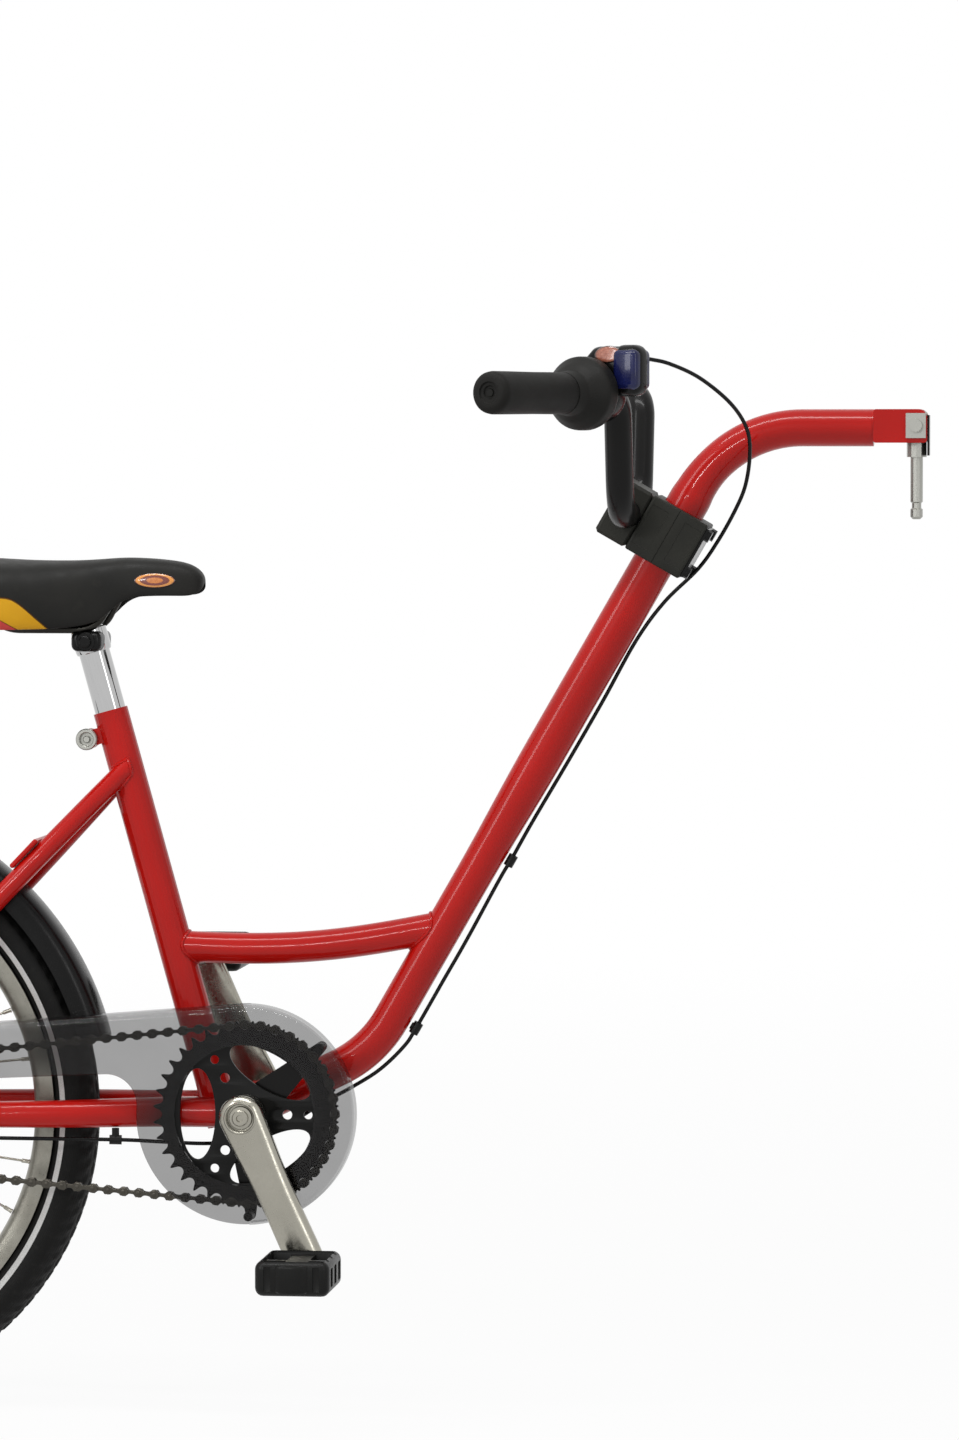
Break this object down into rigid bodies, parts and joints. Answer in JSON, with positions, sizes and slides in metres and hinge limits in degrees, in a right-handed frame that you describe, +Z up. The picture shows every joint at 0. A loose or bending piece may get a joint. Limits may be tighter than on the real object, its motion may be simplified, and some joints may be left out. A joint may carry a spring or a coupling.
{
  "type": "child trailer bike",
  "caption": "Child's trailer bike with a red frame, rack hitch on a bent drawbar, twist shifter, smoked chain guard and padded saddle.",
  "frame": {"origin": "on the king pin's axis, in the plane where its collar rests on the rack", "axes": "+X forward, -Y the bike's right-hand drive side, +Z up, along the king pin"},
  "size_m": [1.1755, 0.5798, 0.8708],
  "materials": {
    "frame_paint": "gloss",
    "fastener_steel": "satin",
    "post_chrome": "polished",
    "polished_alloy": "polished",
    "black_steel": "satin",
    "black_plastic": "matte",
    "smoked_plastic": "gloss",
    "grip_rubber": "matte",
    "tyre_rubber": "matte",
    "saddle_cover": "matte"
  },
  "bodies": {
    "frame": {"drawbar": "frame_paint", "seat_tube": "frame_paint", "seat_clamp_bolt": "fastener_steel", "brace_tube": "frame_paint", "bottom_bracket_shell": "frame_paint", "bearing_cup_right": "fastener_steel", "bearing_cup_left": "fastener_steel", "chainstay_right": "frame_paint", "chainstay_left": "frame_paint", "seatstay_right": "frame_paint", "seatstay_left": "frame_paint", "stay_bridge": "frame_paint", "rear_axle": "fastener_steel", "axle_nut_right": "fastener_steel", "axle_nut_left": "fastener_steel", "coaster_arm": "fastener_steel", "mudguard": "black_plastic", "chain_guard": "smoked_plastic", "guard_bracket": "black_steel", "hitch_head": "frame_paint", "pivot_screw_right": "fastener_steel", "pivot_screw_left": "fastener_steel", "cable_guide_1": "black_plastic", "cable_guide_2": "black_plastic", "cable_guide_3": "black_plastic", "shift_box": "black_plastic", "shift_cable_run": "black_plastic", "shift_cable_loop": "black_plastic"},
    "yoke": {"hitch_yoke": "black_steel", "safety_plate": "black_steel"},
    "pin": {"king_pin": "fastener_steel"},
    "bar_clamp": {"clamp_rear": "black_plastic", "clamp_middle": "black_plastic", "clamp_front": "black_plastic", "clamp_screws": "fastener_steel"},
    "bar": {"handlebar": "black_steel", "grip_right": "grip_rubber", "grip_left": "grip_rubber", "shifter_housing": "black_plastic"},
    "twister": {"twist_grip": "grip_rubber"},
    "post": {"seat_post": "post_chrome", "saddle_clamp_core": "fastener_steel"},
    "saddle": {"saddle_clamp": "fastener_steel", "saddle_rails": "fastener_steel", "saddle_base": "black_plastic", "saddle_cover": "saddle_cover"},
    "crankset": {"crank_spindle": "fastener_steel", "crank_right": "polished_alloy", "crank_left": "polished_alloy", "chainring": "black_steel", "chain": "black_steel", "pedal_axle_right": "fastener_steel", "pedal_axle_left": "fastener_steel"},
    "pedal_r": {"pedal_right": "black_plastic"},
    "pedal_l": {"pedal_left": "black_plastic"},
    "sprocket": {"rear_sprocket": "fastener_steel"},
    "wheel": {"tyre": "tyre_rubber", "rim": "polished_alloy", "hub_with_spokes": "polished_alloy"}
  },
  "joints": [
    {"name": "hitch_pitch", "type": "hinge", "parent": "frame", "child": "yoke", "pos_m": [0, 0, 0.0253], "axis": [0, 1, 0], "range_deg": [-30, 30]},
    {"name": "hitch_yaw", "type": "hinge", "parent": "yoke", "child": "pin", "pos_m": [0, 0, 0], "axis": [0, 0, 1], "range_deg": [-90, 90]},
    {"name": "clamp_slide", "type": "slide", "parent": "frame", "child": "bar_clamp", "axis": [0.4985, 0, 0.8669], "range_m": [-0.15, 0.004], "deforming": ["shift_cable_loop"]},
    {"name": "handlebar_tilt", "type": "hinge", "parent": "bar_clamp", "child": "bar", "pos_m": [-0.23169, 0, -0.04563], "axis": [0, 1, 0], "range_deg": [-25, 25], "deforming": ["shift_cable_loop"]},
    {"name": "shifter_twist", "type": "hinge", "parent": "bar", "child": "twister", "pos_m": [-0.25943, -0.16917, 0.05037], "axis": [-0.4365, -0.8997, 0], "range_deg": [-50, 50]},
    {"name": "seat_height", "type": "slide", "parent": "frame", "child": "post", "axis": [-0.2672, 0, 0.9636], "range_m": [-0.012, 0.045]},
    {"name": "saddle_tilt", "type": "hinge", "parent": "post", "child": "saddle", "pos_m": [-0.67329, 0, -0.15025], "axis": [0, 1, 0], "range_deg": [-6, 6]},
    {"name": "crank_spin", "type": "hinge", "parent": "frame", "child": "crankset", "pos_m": [-0.5395, 0, -0.5324], "axis": [0, 1, 0], "continuous": true, "deforming": ["chain"]},
    {"name": "pedal_right_spin", "type": "hinge", "parent": "crankset", "child": "pedal_r", "pos_m": [-0.48559, -0.126, -0.6507], "axis": [0, 1, 0], "continuous": true},
    {"name": "pedal_left_spin", "type": "hinge", "parent": "crankset", "child": "pedal_l", "pos_m": [-0.59341, 0.126, -0.41411], "axis": [0, 1, 0], "continuous": true},
    {"name": "sprocket_spin", "type": "hinge", "parent": "frame", "child": "sprocket", "pos_m": [-0.91234, 0, -0.5364], "axis": [0, 1, 0], "continuous": true},
    {"name": "wheel_spin", "type": "hinge", "parent": "frame", "child": "wheel", "pos_m": [-0.91234, 0, -0.5364], "axis": [0, 1, 0], "continuous": true}
  ],
  "couplings": [
    {"joint": "sprocket_spin", "follows": "crank_spin", "ratio": 2}
  ]
}
